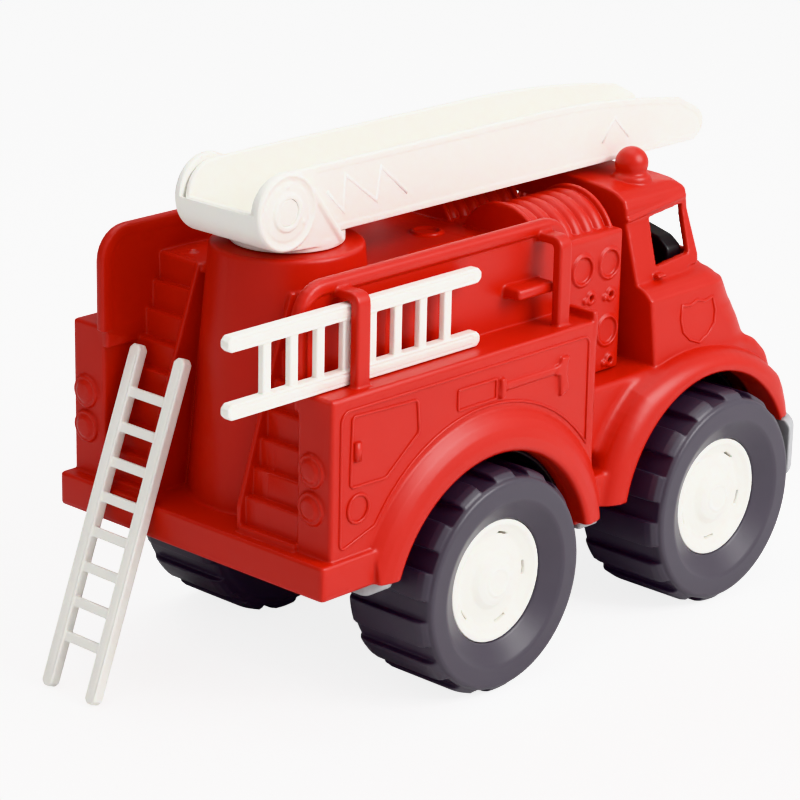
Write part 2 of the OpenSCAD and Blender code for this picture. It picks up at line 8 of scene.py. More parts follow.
import bmesh
import bpy
import numpy as np
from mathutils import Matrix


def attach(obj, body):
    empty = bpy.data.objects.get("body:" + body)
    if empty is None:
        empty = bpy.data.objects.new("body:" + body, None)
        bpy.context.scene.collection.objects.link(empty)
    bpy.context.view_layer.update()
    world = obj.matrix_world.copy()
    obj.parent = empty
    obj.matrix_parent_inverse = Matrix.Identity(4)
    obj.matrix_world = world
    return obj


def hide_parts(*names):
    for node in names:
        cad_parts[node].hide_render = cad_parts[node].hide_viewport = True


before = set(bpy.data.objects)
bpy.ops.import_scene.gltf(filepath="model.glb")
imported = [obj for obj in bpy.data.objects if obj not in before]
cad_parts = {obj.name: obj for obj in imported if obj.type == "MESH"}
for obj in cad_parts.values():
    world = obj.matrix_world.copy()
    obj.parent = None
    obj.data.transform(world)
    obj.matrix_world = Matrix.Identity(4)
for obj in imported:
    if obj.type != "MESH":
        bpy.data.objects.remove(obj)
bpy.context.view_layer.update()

import openvdb
from mathutils import Matrix, Vector

SHIFT = -32.75
MM = 0.001
COARSER = 1
# value of a field away from every shape
FAR = 9.0
# the biggest pieces are thinned out above this many faces
MOST_FACES = 190000

# sizes and places that more than one piece is built round
WHEELBASE, WHEEL_Z = 126.3, 41.9
REAR_ARCH, REAR_ARCH_R, REAR_LIP = (-2.0, 38.9), 51.0, 71.4
FRONT_ARCH, FRONT_ARCH_R, FRONT_LIP = (125.4, 41.0), 49.4, 66.7
SHELF_Z, DECK_Z, STEP_Z = 126.5, 150.0, 69.0
LOCKER_BACK, LOCKER_FRONT, LOCKER_Y = -80.0, 57.0, 65.5
STEP_BACK = -85.7
BODY_END, CAB_BACK, NOSE = 57.1, 101.5, 178.6
CAB_SIDE = 57.4
TOWER_X, TOWER_Z, TOWER_IN = -37.1, 161.1, 25.5
PIVOT = (-57.4, 178.5)
BOOM_R, BARREL_R, BOOM_SIDE, BOOM_WALL = 12.4, 14.1, 17.4, 2.2
AXLE_BORE_R = 4.56
LADDER_W, LADDER_T = 28.7, 4.4


def on_circle(centre, radius, degrees):
    a = math.radians(degrees)
    return centre[0] + radius * math.cos(a), centre[1] + radius * math.sin(a)


def arc(centre, radius, *degrees):
    """Points on a circle; degrees is the start, end and step of a range."""
    return [on_circle(centre, radius, a) for a in range(*degrees)]


# ---------------------------------------------------------------- distance fields

def poly_distance(px, pz, poly):
    """Signed distance from the points px, pz to a closed outline, negative inside."""
    poly = np.asarray(poly, np.float32)
    best = np.full(np.broadcast(px, pz).shape, 1e9, np.float32)
    inside = np.zeros(best.shape, bool)
    for a, b in zip(poly, np.roll(poly, -1, 0)):
        ex, ez = b - a
        length = ex * ex + ez * ez
        if length < 1e-12:
            continue
        wx, wz = px - a[0], pz - a[1]
        t = np.clip((wx * ex + wz * ez) / length, 0, 1)
        best = np.minimum(best, (wx - ex * t) ** 2 + (wz - ez * t) ** 2)
        crosses = (a[1] > pz) != (b[1] > pz)
        if ez != 0:
            inside ^= crosses & (px < a[0] + ex * (pz - a[1]) / ez)
    best = np.sqrt(best)
    return np.where(inside, -best, best)


def rounded(points, radii, steps=7):
    """An outline with its corners rounded; radii is one number or one per point."""
    n = len(points)
    radii = radii if isinstance(radii, (list, tuple)) else [radii] * n
    out = []
    for i in range(n):
        p = np.array(points[i], float)
        a = np.array(points[i - 1], float) - p
        b = np.array(points[(i + 1) % n], float) - p
        la, lb = np.linalg.norm(a), np.linalg.norm(b)
        a, b = a / la, b / lb
        angle = math.acos(max(-1, min(1, float(a @ b))))
        if radii[i] <= 0 or angle > math.pi - 0.02:
            out.append(p)
            continue
        cut = min(radii[i] / math.tan(angle / 2), la * 0.49, lb * 0.49)
        r = cut * math.tan(angle / 2)
        mid = (a + b) / np.linalg.norm(a + b)
        centre = p + mid * r / math.sin(angle / 2)
        s, e = p + a * cut - centre, p + b * cut - centre
        t0 = math.atan2(s[1], s[0])
        turn = (math.atan2(e[1], e[0]) - t0 + math.pi) % (2 * math.pi) - math.pi
        out += [centre + r * np.array([math.cos(t0 + turn * k / steps),
                                       math.sin(t0 + turn * k / steps)])
                for k in range(steps + 1)]
    return [tuple(p) for p in out]


def edge(q1, q2, r):
    """Joins two half-space distances with a rounded edge of radius r."""
    q1, q2 = q1 + r, q2 + r
    return (np.minimum(np.maximum(q1, q2), 0)
            + np.sqrt(np.maximum(q1, 0) ** 2 + np.maximum(q2, 0) ** 2) - r)


def box(lo, hi, r=0.0):
    """A box with rounded edges."""
    lo, hi = np.array(lo, float), np.array(hi, float)
    c, h = (lo + hi) / 2, (hi - lo) / 2 - r

    def fn(x, y, z):
        q = [abs(v - c[i]) - h[i] for i, v in enumerate((x, y, z))]
        out = np.sqrt(sum(np.maximum(v, 0) ** 2 for v in q))
        return out + np.minimum(np.maximum(np.maximum(q[0], q[1]), q[2]), 0) - r
    return fn, lo, hi


AXES = {"x": (1, 2, 0), "y": (0, 2, 1), "z": (0, 1, 2)}


def rod(axis, centre, radius, a, b, r=0.0, radius_b=None):
    """A cylinder along an axis from a to b, or a cone that ends with radius_b."""
    i, j, k = AXES[axis]
    slope = 0.0 if radius_b is None else (radius_b - radius) / (b - a)
    top = radius if radius_b is None else radius_b

    def fn(x, y, z):
        p = (x, y, z)
        rho = np.sqrt((p[i] - centre[0]) ** 2 + (p[j] - centre[1]) ** 2)
        side = (rho - radius - slope * (p[k] - a)) / math.hypot(1, slope)
        return edge(side, abs(p[k] - (a + b) / 2) - (b - a) / 2, r)
    lo, hi = [0] * 3, [0] * 3
    big = max(radius, top)
    for m, c in ((i, centre[0]), (j, centre[1])):
        lo[m], hi[m] = c - big, c + big
    lo[k], hi[k] = a, b
    return fn, lo, hi


def prism(axis, outline, a, b, r=0.0, hollow=0.0):
    """An outline swept along an axis from a to b; hollow keeps only a band inside it."""
    i, j, k = AXES[axis]
    pts = np.array(outline)

    def fn(x, y, z):
        p = (x, y, z)
        flat = poly_distance(p[i], p[j], outline)
        if hollow:
            flat = abs(flat + hollow / 2) - hollow / 2
        return edge(flat, abs(p[k] - (a + b) / 2) - (b - a) / 2, r)
    lo, hi = [0] * 3, [0] * 3
    lo[i], hi[i] = pts[:, 0].min(), pts[:, 0].max()
    lo[j], hi[j] = pts[:, 1].min(), pts[:, 1].max()
    lo[k], hi[k] = a, b
    return fn, lo, hi


def lathe(axis, centre, outline):
    """An outline of radius and distance along the axis, spun round it."""
    i, j, k = AXES[axis]
    pts = np.array(outline)
    cell = 0.25
    r0, t0 = max(pts[:, 0].min() - 4, 0), pts[:, 1].min() - 4
    nr = int((pts[:, 0].max() + 4 - r0) / cell) + 2
    nt = int((pts[:, 1].max() + 4 - t0) / cell) + 2
    rr = (r0 + cell * np.arange(nr, dtype=np.float32))[:, None]
    tt = (t0 + cell * np.arange(nt, dtype=np.float32))[None, :]
    table = poly_distance(rr, tt, outline).astype(np.float32)

    def fn(x, y, z):
        p = (x, y, z)
        rho = np.sqrt((p[i] - centre[0]) ** 2 + (p[j] - centre[1]) ** 2)
        u = np.clip((rho - r0) / cell, 0, nr - 1.001)
        v = np.clip((p[k] - t0) / cell, 0, nt - 1.001)
        u, v = np.broadcast_arrays(u, v)
        iu, iv = u.astype(np.int32), v.astype(np.int32)
        fu, fv = u - iu, v - iv
        return ((table[iu, iv] * (1 - fv) + table[iu, iv + 1] * fv) * (1 - fu)
                + (table[iu + 1, iv] * (1 - fv) + table[iu + 1, iv + 1] * fv) * fu)
    big = pts[:, 0].max()
    lo, hi = [0] * 3, [0] * 3
    for m, c in ((i, centre[0]), (j, centre[1])):
        lo[m], hi[m] = c - big, c + big
    lo[k], hi[k] = pts[:, 1].min(), pts[:, 1].max()
    return fn, lo, hi


def ring(axis, centre, along, radius, thick):
    """A torus round an axis."""
    i, j, k = AXES[axis]

    def fn(x, y, z):
        p = (x, y, z)
        rho = np.sqrt((p[i] - centre[0]) ** 2 + (p[j] - centre[1]) ** 2) - radius
        return np.sqrt(rho ** 2 + (p[k] - along) ** 2) - thick
    lo, hi = [0] * 3, [0] * 3
    for m, c in ((i, centre[0]), (j, centre[1])):
        lo[m], hi[m] = c - radius - thick, c + radius + thick
    lo[k], hi[k] = along - thick, along + thick
    return fn, lo, hi


def ball(centre, radius):
    def fn(x, y, z):
        return np.sqrt((x - centre[0]) ** 2 + (y - centre[1]) ** 2
                       + (z - centre[2]) ** 2) - radius
    c = np.array(centre)
    return fn, c - radius, c + radius


def both(first, *others):
    """The part that all the shapes share."""
    def fn(x, y, z):
        d = first[0](x, y, z)
        for o in others:
            d = np.maximum(d, o[0](x, y, z))
        return d
    return fn, first[1], first[2]


class Field:
    """Signed distances on a grid, in millimetres."""

    def __init__(self, lo, hi, step):
        self.lo, self.step = np.array(lo, float), step
        n = [int(math.ceil((h - l) / step)) + 1 for l, h in zip(lo, hi)]
        self.axis = [(l + step * np.arange(c)).astype(np.float32) for l, c in zip(lo, n)]
        self.d = np.full(n, FAR, np.float32)

    def _window(self, shape, pad):
        fn, lo, hi = shape
        cut, axes = [], []
        for i in range(3):
            a = int(np.searchsorted(self.axis[i], lo[i] - pad))
            b = int(np.searchsorted(self.axis[i], hi[i] + pad))
            if b <= a:
                return None
            cut.append(slice(a, b))
            axes.append(self.axis[i][a:b].reshape([-1 if j == i else 1 for j in range(3)]))
        return tuple(cut), fn(*axes).astype(np.float32)

    def add(self, shape, k=0.0):
        """Unites a shape, with a fillet of size k where it meets what is there."""
        found = self._window(shape, 4 + k)
        if found:
            w, s = found
            d = self.d[w]
            if k:
                h = np.maximum(k - abs(d - s), 0) / k
                self.d[w] = np.minimum(d, s) - h * h * k / 4
            else:
                self.d[w] = np.minimum(d, s)
        return self

    def cut(self, shape, k=0.0):
        """Takes a shape away, with its new edges rounded by k."""
        found = self._window(shape, 4 + k)
        if found:
            w, s = found
            d, s = self.d[w], -s
            if k:
                h = np.maximum(k - abs(d - s), 0) / k
                self.d[w] = np.maximum(d, s) + h * h * k / 4
            else:
                self.d[w] = np.maximum(d, s)
        return self

    def mirrored(self):
        """A field over both sides from one that covers y <= 0 and ends at y = 0."""
        full = Field.__new__(Field)
        full.lo, full.step = self.lo.copy(), self.step
        n = len(self.axis[1])
        full.axis = [self.axis[0],
                     (self.lo[1] + self.step * np.arange(2 * n - 1)).astype(np.float32),
                     self.axis[2]]
        full.d = np.concatenate([self.d, self.d[:, -2::-1, :]], 1)
        return full

    def sample(self, p):
        """Distances at points, by interpolation."""
        q = (p - self.lo) / self.step
        q = np.clip(q, 0, np.array(self.d.shape) - 1.001)
        i = q.astype(np.int32)
        f = (q - i).astype(np.float32)
        out = 0
        for dx in (0, 1):
            for dy in (0, 1):
                for dz in (0, 1):
                    w = ((f[:, 0] if dx else 1 - f[:, 0]) * (f[:, 1] if dy else 1 - f[:, 1])
                         * (f[:, 2] if dz else 1 - f[:, 2]))
                    out = out + w * self.d[i[:, 0] + dx, i[:, 1] + dy, i[:, 2] + dz]
        return out

    def surface(self):
        """Vertices, faces and normals of the zero surface, in millimetres."""
        d = self.d.copy()
        for side in (0, -1):
            d[side], d[:, side], d[:, :, side] = FAR, FAR, FAR
        grid = openvdb.FloatGrid(FAR)
        grid.copyFromArray(d)
        pts, quads = grid.convertToQuads(isovalue=0.0)
        pts = np.asarray(pts, float) * self.step + self.lo
        e = self.step * 0.6
        nrm = np.stack([self.sample(pts + e * v) - self.sample(pts - e * v)
                        for v in np.eye(3)], 1)
        nrm /= np.maximum(np.linalg.norm(nrm, axis=1), 1e-9)[:, None]
        return pts, [tuple(f) for f in np.asarray(quads).tolist()], nrm


def scene_object(name, data, material=None):
    """Puts a mesh, a light or a camera in the scene."""
    obj = bpy.data.objects.new(name, data)
    bpy.context.scene.collection.objects.link(obj)
    if material:
        data.materials.append(material)
    return obj


def piece(name, field, look, body, move=None, keep=None):
    """Turns a field into a piece that rides on a body and stands for the CAD node of the
    same name. look comes from plastic(), move is a matrix, keep a limit on its faces."""
    pts, faces, nrm = field.surface()
    if move is not None:
        m = np.array(move)
        pts = pts @ m[:3, :3].T + m[:3, 3]
        nrm = nrm @ m[:3, :3].T
        if np.linalg.det(m[:3, :3]) < 0:
            faces = [f[::-1] for f in faces]
    mesh = bpy.data.meshes.new(name)
    mesh.from_pydata(((pts + [SHIFT, 0, 0]) * MM).tolist(), [], faces)
    mesh.update()
    mesh.shade_smooth()
    mesh.normals_split_custom_set_from_vertices(nrm.tolist())
    obj = scene_object(name, mesh, look[0])
    if keep is not None and len(faces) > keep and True:
        mod = obj.modifiers.new("lighter", "DECIMATE")
        mod.ratio = keep / len(faces) / 2
    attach(obj, body)
    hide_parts(name)


# ---------------------------------------------------------------- materials

def node(tree, kind, at=(0, 0), **values):
    n = tree.nodes.new(kind)
    n.location = at
    for key, value in values.items():
        if key.startswith("_"):
            setattr(n, key[1:], value)
        else:
            n.inputs[key].default_value = value
    return n


def plastic(slot, colour, rough, edge_highlight=0.12, sss=0.0, dark=0.85):
    """Moulded plastic: faint mottling, fine moulding grain, and convex edges painted paler as a
    painted highlight.
    Returns the material with its slot name."""
    mat = bpy.data.materials.new(slot)
    mat.use_nodes = True
    t = mat.node_tree
    t.nodes.clear()
    link = t.links.new
    out = node(t, "ShaderNodeOutputMaterial", (900, 0))
    bsdf = node(t, "ShaderNodeBsdfPrincipled", (600, 0))
    link(bsdf.outputs["BSDF"], out.inputs["Surface"])
    where = node(t, "ShaderNodeTexCoord", (-1200, 0))
    cloud = node(t, "ShaderNodeTexNoise", (-900, 200), Scale=18.0, Detail=4.0, Roughness=0.6)
    fine = node(t, "ShaderNodeTexNoise", (-900, -100), Scale=900.0, Detail=2.0)
    wave = node(t, "ShaderNodeTexNoise", (-900, -400), Scale=45.0, Detail=1.0)
    for n in (cloud, fine, wave):
        link(where.outputs["Object"], n.inputs["Vector"])
    # painted highlight: the colour is made paler on convex edges, where pointiness is high
    geo = node(t, "ShaderNodeNewGeometry", (-900, 500))
    edges = node(t, "ShaderNodeMapRange", (-600, 500),
                 **{"From Min": 0.50, "From Max": 0.60, "To Min": 0.0, "To Max": edge_highlight})
    link(geo.outputs["Pointiness"], edges.inputs["Value"])
    base = node(t, "ShaderNodeMixRGB", (-300, 300), Fac=0.5)
    link(cloud.outputs["Fac"], base.inputs["Fac"])
    base.inputs["Color1"].default_value = (*[c * dark for c in colour], 1)
    base.inputs["Color2"].default_value = (*[min(c * 1.06, 1) for c in colour], 1)
    # mixes the painted highlight colour into the base colour on those edges
    highlighted = node(t, "ShaderNodeMixRGB", (0, 300))
    link(edges.outputs["Result"], highlighted.inputs["Fac"])
    link(base.outputs["Color"], highlighted.inputs["Color1"])
    highlighted.inputs["Color2"].default_value = (*[min(c * 1.5 + 0.04, 1) for c in colour], 1)
    link(highlighted.outputs["Color"], bsdf.inputs["Base Color"])
    shine = node(t, "ShaderNodeMapRange", (-300, 0),
                 **{"To Min": rough - 0.05, "To Max": rough + 0.08})
    link(cloud.outputs["Fac"], shine.inputs["Value"])
    link(shine.outputs["Result"], bsdf.inputs["Roughness"])
    soft = node(t, "ShaderNodeBump", (0, -300), Strength=0.04, Distance=0.002)
    link(wave.outputs["Fac"], soft.inputs["Height"])
    grainy = node(t, "ShaderNodeBump", (250, -200), Strength=0.05, Distance=0.0003)
    link(fine.outputs["Fac"], grainy.inputs["Height"])
    link(soft.outputs["Normal"], grainy.inputs["Normal"])
    link(grainy.outputs["Normal"], bsdf.inputs["Normal"])
    bsdf.inputs["IOR"].default_value = 1.5
    bsdf.inputs["Specular IOR Level"].default_value = 0.5
    if sss:
        bsdf.inputs["Subsurface Weight"].default_value = sss
        bsdf.inputs["Subsurface Radius"].default_value = (1.0, 0.6, 0.4)
        bsdf.inputs["Subsurface Scale"].default_value = 0.002
    return mat, slot


# the edge strengths below set how much paler each plastic's convex edges are painted, a painted
# highlight; the white's is strongest
RED = plastic("red_plastic", (0.51, 0.016, 0.008), 0.38, sss=0.04)
WHITE = plastic("white_plastic", (0.92, 0.905, 0.85), 0.42, sss=0.12, dark=0.96, edge_highlight=0.3)
GREY = plastic("grey_plastic", (0.40, 0.40, 0.41), 0.45, dark=0.9)
BLACK = plastic("black_plastic", (0.012, 0.010, 0.012), 0.45)
TYRE = plastic("tyre_black", (0.068, 0.058, 0.076), 0.36, edge_highlight=0.06)


# ---------------------------------------------------------------- red rear body

def arch_outline(radius, lip, reach):
    """Section of a wheel arch's flare, as radius from the arch's centre and |y|."""
    bulge = [(0.0, 1.6), (0.8, 0.5), (2.2, 0.0), (5.5, 0.25), (9, 1.3), (12, 2.9),
             (14.5, 5.0), (reach, 7.4), (reach + 2, 12)]
    return ([(radius, -40.0)] + [(radius + r, -lip + t) for r, t in bulge]
            + [(radius + reach + 2, -40.0)])


def stair_side():
    """Side view of the eight steps between the deck and the rear step."""
    tread, rise, steps = 3.4, 9.8, 8
    pts = []
    for k in range(steps):
        x, z = -54.6 - tread * k, DECK_Z - rise * k
        pts += [(x, z), (x, z - rise)]
    return pts + [(-54.6 - tread * steps, DECK_Z - rise * steps),
                  (-81.8, 60), (-38, 60), (-38, DECK_Z)]


def rear_body():
    step = 0.72
    f = Field((-88, -step * math.ceil(74 / step), 48), (97, 0, 166), step)
    # lockers, step and the bay between them
    f.add(box((LOCKER_BACK, -LOCKER_Y, 60), (LOCKER_FRONT, -49, SHELF_Z), 1.1))
    f.add(box((-70, -LOCKER_Y, 49), (LOCKER_FRONT, -49, 80), 1.0))
    plan = rounded([(STEP_BACK, -67.4), (-40, -67.4), (-40, 20), (STEP_BACK, 20)],
                   [1.6, 0, 0, 0])
    f.add(prism("z", plan, 56.2, STEP_Z, 1.2), 1.2)
    f.cut(box((-83, -64.9, 40), (-40, 30, 66), 1.0))
    # wheel-arch flare
    flare = lathe("y", REAR_ARCH, arch_outline(REAR_ARCH_R, REAR_LIP, 16.2))
    f.add(both(flare, box((-60, -80, 50.6), (57, -40, 140), 0.6)), 0.9)
    f.cut(box((-90, -90, 40), (-30, 10, 56.2)), 0.8)
    # upper wall with its rail
    wall = rounded([(-82, 60), (-82, 163.3), (57, 163.3), (57, 60)], [0, 12.5, 13, 0])
    above = box((-90, -60, 125.4), (60, -40, 170), 0.6)
    f.add(both(prism("y", wall, -49.6, -47.0, 0.6), above), 0.8)
    f.add(box((LOCKER_BACK, -49.6, 119), (LOCKER_FRONT, -47, 127), 0.6), 0.4)
    f.add(both(prism("y", wall, -51.5, -46.8, 2.1, hollow=5.4), above), 0.8)
    # ladder brackets
    for x in (-61.3, 41.9):
        hook = rounded([(-62, 120), (-58.1, 120), (-58.1, 156.4), (-47.5, 156.4),
                        (-47.5, 159.8), (-62, 159.8)], [0, 0, 1.4, 0, 0, 4.2])
        f.add(prism("x", hook, x - 3.3, x + 3.3, 0.9), 1.2)
    # stop at the front end of the shelf, and the small step on the wall
    f.add(box((54.4, -65.5, 120), (57, -47, 129.9), 0.9), 0.8)
    f.add(box((22, -57.5, 138.4), (41.5, -48, 142.6), 1.4), 0.9)
    # stairs
    f.add(prism("y", stair_side(), -50, -26.5, 0.6), 0.7)
    # deck and bulkhead
    f.add(box((-54.6, -49, 147), (60, 4, DECK_Z), 0.6), 0.9)
    f.add(box((-44, -50, 60), (-40.5, 4, 149), 0.5))
    # tower
    f.add(rod("z", (TOWER_X, 0), 36.0, 60, TOWER_Z, 1.4, radius_b=27.6), 1.2)
    # pump house and hose reels
    f.add(box((40, -45.3, 92), (94, 4, DECK_Z), 1.3), 0.8)
    f.cut(box((-38, -44, 40), (91.5, 10, 146), 1.0))
    reel(f)
    details(f)
    # wheel openings, underside and the turntable's bearing
    f.cut(rod("y", REAR_ARCH, REAR_ARCH_R, -90, -32), 1.0)
    f.cut(box((57.0, -80, 40), (120, 10, 96)), 0.4)
    f = f.mirrored()
    f.cut(rod("z", (TOWER_X, 0), 9.2, 150, 170), 0.8)
    f.cut(rod("z", (TOWER_X, 0), TOWER_IN, 40, 158))
    plates(f)
    return f


def reel(f):
    """Two flanges with six turns of hose between them, let into the pump house."""
    c, drum = (-22.5, 141.5), 17.0
    f.add(rod("x", c, drum, 51.5, 91.5))
    for x in (51.0, 89.8):
        f.add(rod("x", c, 21.3, x, x + 2.2, 0.8), 0.8)
    for k in range(6):
        f.add(ring("x", c, 56.4 + 6.05 * k, drum, 3.2), 0.3)


def details(f):
    """Raised and sunk detail that is the same on both sides."""
    for x, z in ((70.9, 137.8), (86.1, 137.9), (86.2, 111.8)):
        f.add(ring("y", (x, z), -45.4, 5.5, 0.85), 0.3)
        f.cut(rod("y", (x, z), 4.9, -47, -45.0), 0.3)
    for x, z in ((76.1, 126.3), (87.4, 125.6), (88.2, 99.8)):
        f.add(ring("y", (x, z), -45.5, 1.9, 0.85), 0.3)
        f.cut(rod("y", (x, z), 0.9, -48, -44.4), 0.3)
        f.add(ball((x - 3.4, -45.3, z - 0.7), 1.3), 0.3)
    # axe hung on the locker's side
    head = rounded([(33, 110.8), (35.4, 110.2), (36, 101.8), (41, 104), (39.7, 109),
                    (39.7, 114.2), (41, 116.6), (36.4, 117), (35.2, 114.4), (33, 114.2)], 0.7)
    f.add(prism("y", head, -66.8, -64, 0.5), 0.3)
    f.add(box((5, -66.5, 111.2), (35, -64, 114), 0.6), 0.3)
    f.add(box((3.4, -67.1, 108.6), (6.2, -64, 116.2), 0.7), 0.3)


def plates(f):
    """Detail that differs between the sides: stringers, lamps, deck recess and vent ring."""
    f.add(prism("y", stair_side(), -30, -21.5, 0.6), 0.3)
    right = [(-70.2, 112), (-81.2, 78), (-81.2, 64), (-50, 64), (-50, 150), (-56.8, 150)]
    f.add(prism("y", right, -22.6, -20.6, 0.6), 0.6)
    left = [(-55.4, 150), (-66.4, 119.3), (-80.8, 79), (-80.8, 64), (-50, 64), (-50, 150)]
    f.add(prism("y", left, 25.6, 27.6, 0.6), 0.6)
    f.cut(rod("z", (TOWER_X, 0), TOWER_IN, 40, 158))
    for y, z in ((-56.2, 99.9), (-56.2, 86.4), (58.4, 100.5), (58.4, 87.3)):
        f.add(rod("x", (y, z), 6.0, -81.4, -78, 0.6), 0.3)
        f.cut(ring("x", (y, z), -81.5, 4.8, 0.55), 0.3)
        f.add(rod("x", (y, z), 3.9, -82.0, -79, 0.8), 0.2)
    f.add(ring("z", (35, 0), 150.2, 5.2, 1.0), 0.5)
    f.cut(box((10, -45, 148.7), (45, -15, 153), 0.6), 0.6)
    for y in (-44.5, 44.5):
        f.cut(box((-51.6, min(y, y * 0.75), 149.5), (-50.8, max(y, y * 0.75), 153)), 0.3)
        f.add(ball((-46.5, y * 0.86, 149.2), 2.4), 0.5)


# ---------------------------------------------------------------- shared small shapes

def capsule(p, q, r):
    """A round-ended rod from p to q."""
    p, q = np.array(p, float), np.array(q, float)
    v = q - p

    def fn(x, y, z):
        t = ((x - p[0]) * v[0] + (y - p[1]) * v[1] + (z - p[2]) * v[2]) / (v @ v)
        t = np.clip(t, 0, 1)
        return np.sqrt((x - p[0] - t * v[0]) ** 2 + (y - p[1] - t * v[1]) ** 2
                       + (z - p[2] - t * v[2]) ** 2) - r
    return fn, np.minimum(p, q) - r, np.maximum(p, q) + r


def grown(shape, by):
    def fn(x, y, z):
        return shape[0](x, y, z) - by
    return fn, np.array(shape[1], float) - by, np.array(shape[2], float) + by


def half_grid(lo, hi, step):
    """A field over y <= 0 that has a layer of points at y = 0, ready to be mirrored."""
    step = step * COARSER
    deep = step * math.ceil(-lo[1] / step)
    return Field((lo[0], -deep, lo[2]), (hi[0], 0, hi[2]), step)


def whole_grid(lo, hi, step):
    return Field(lo, hi, step * COARSER)


def bead(points, width, height, closed):
    """Vertices and faces of a rounded ridge along a line on the plane y = 0, towards -y."""
    pts = np.array(points, float)
    n = len(pts)
    sink = 0.4
    section = [(-0.5, -sink), (-0.5, 0.25 * height), (-0.36, 0.8 * height), (0.0, height),
               (0.36, 0.8 * height), (0.5, 0.25 * height), (0.5, -sink)]
    verts, faces = [], []
    for i in range(n):
        before = pts[i] - pts[i - 1] if closed or i else pts[1] - pts[0]
        after = pts[(i + 1) % n] - pts[i] if closed or i < n - 1 else before
        before, after = before / np.linalg.norm(before), after / np.linalg.norm(after)
        side = np.array([-(before + after)[1], (before + after)[0]])
        side /= np.linalg.norm(side)
        side /= max(0.45, float(side @ np.array([-before[1], before[0]])))
        for u, h in section:
            q = pts[i] + side * u * width
            verts.append((q[0], -h, q[1]))
    m = len(section)
    for i in range(n if closed else n - 1):
        j = (i + 1) % n
        for k in range(m):
            l = (k + 1) % m
            faces.append((i * m + k, i * m + l, j * m + l, j * m + k))
    if not closed:
        faces.append(tuple(reversed(range(m))))
        faces.append(tuple((n - 1) * m + k for k in range(m)))
    return np.array(verts), faces


def subdivided(points, closed):
    """The line with more points on it, about 2 mm apart."""
    gap = 2.0
    out = []
    n = len(points)
    for i in range(n if closed else n - 1):
        a, b = np.array(points[i], float), np.array(points[(i + 1) % n], float)
        k = max(1, int(np.linalg.norm(b - a) / gap))
        out += [tuple(a + (b - a) * j / k) for j in range(k)]
    if not closed:
        out.append(tuple(points[-1]))
    return out


def relief(name, lines, look, body, on=None, y=0.0):
    """Raised lines on both flanks: each line is (points, width, height, closed). They lie on
    the plane |y|, or on the surface of a field that they are pressed against."""
    verts, faces = [], []
    for points, width, height, closed in lines:
        if on is not None:
            points = subdivided(points, closed)
        v, f = bead(points, width, height, closed)
        if on is not None:
            v[:, 1] += press(on, v)
        else:
            v[:, 1] -= y
        for s in (-1, 1):
            w = v * [1, -s, 1] if s > 0 else v
            base = sum(len(u) for u in verts)
            verts.append(w)
            faces += [tuple(base + i for i in (g if s < 0 else g[::-1])) for g in f]
    mesh = bpy.data.meshes.new(name)
    mesh.from_pydata(((np.concatenate(verts) + [SHIFT, 0, 0]) * MM).tolist(), [], faces)
    mesh.validate()
    bm = bmesh.new()
    bm.from_mesh(mesh)
    bmesh.ops.recalc_face_normals(bm, faces=bm.faces)
    bm.to_mesh(mesh)
    bm.free()
    mesh.shade_smooth()
    obj = scene_object(name, mesh, look[0])
    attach(obj, body)


def press(field, v):
    """Where rays along +y from outside meet the field's surface, for each x and z of v."""
    y = np.full(len(v), field.lo[1] + 1.0)
    for _ in range(40):
        p = np.stack([v[:, 0], y, v[:, 2]], 1)
        y = y + np.clip(field.sample(p), -0.5, 2.0) * 0.9
    return y


# ---------------------------------------------------------------- red cab

# half width of the cab by height
CAB_WIDTH = [(40, CAB_SIDE), (95.6, 57.0), (121.4, 53.9), (124, 51.2), (125.5, 48.9), (126, 46.7),
             (148.5, 40.3), (154, 40), (157.4, 38.6), (160, 34.4), (161.3, 28), (162.4, 14),
             (162.9, 0), (164, -40)]
# how far forward it reaches by height
CAB_REACH = [(40, NOSE), (68, NOSE), (80, 174), (90, 168.5), (99, 165), (105, 162.6),
             (112, 159), (121, 152.6), (126.6, 146.4), (127.4, 141.2), (153.4, 138.6), (156, 139),
             (159.6, 138.2), (161.2, 135.4), (162.6, 130), (163.4, 120), (164, 100)]
# radius of its front corners by height
CORNER = [(40, 16), (112, 16), (120, 12), (127, 4.5), (131, 2.4), (156, 2.4), (160, 5), (164, 5)]


def eased(values, n):
    """Mean over n neighbours."""
    return np.convolve(np.pad(values, n // 2, "edge"), np.ones(n) / n, "valid")


def by_height(table, blur, z):
    """Value and steepness factor of a table at heights z, its corners eased over blur."""
    gap = 0.1
    fine = np.arange(30, 180, gap)
    value = eased(np.interp(fine, *zip(*table)), max(1, int(blur / gap)) | 1)
    slope = eased(np.gradient(value, gap), 15)
    return (np.interp(z, fine, value).astype(np.float32),
            np.interp(z, fine, 1 / np.hypot(1, slope)).astype(np.float32))


def cab_solid():
    def fn(x, y, z):
        width, kw = by_height(CAB_WIDTH, 0.7, z)
        low, kl = by_height(CAB_REACH, 3.4, z)
        high, kh = by_height(CAB_REACH, 0.9, z)
        w = np.clip((z - 122) / 3, 0, 1)
        reach, kr = low + (high - low) * w, kl + (kh - kl) * w
        r = np.interp(z, *zip(*CORNER)).astype(np.float32)
        d = edge((x - reach) * kr, (abs(y) - width) * kw, r)
        return edge(d, CAB_BACK - x, 1.2)
    return fn, np.array([CAB_BACK, -CAB_SIDE, 45]), np.array([NOSE, CAB_SIDE, 164])


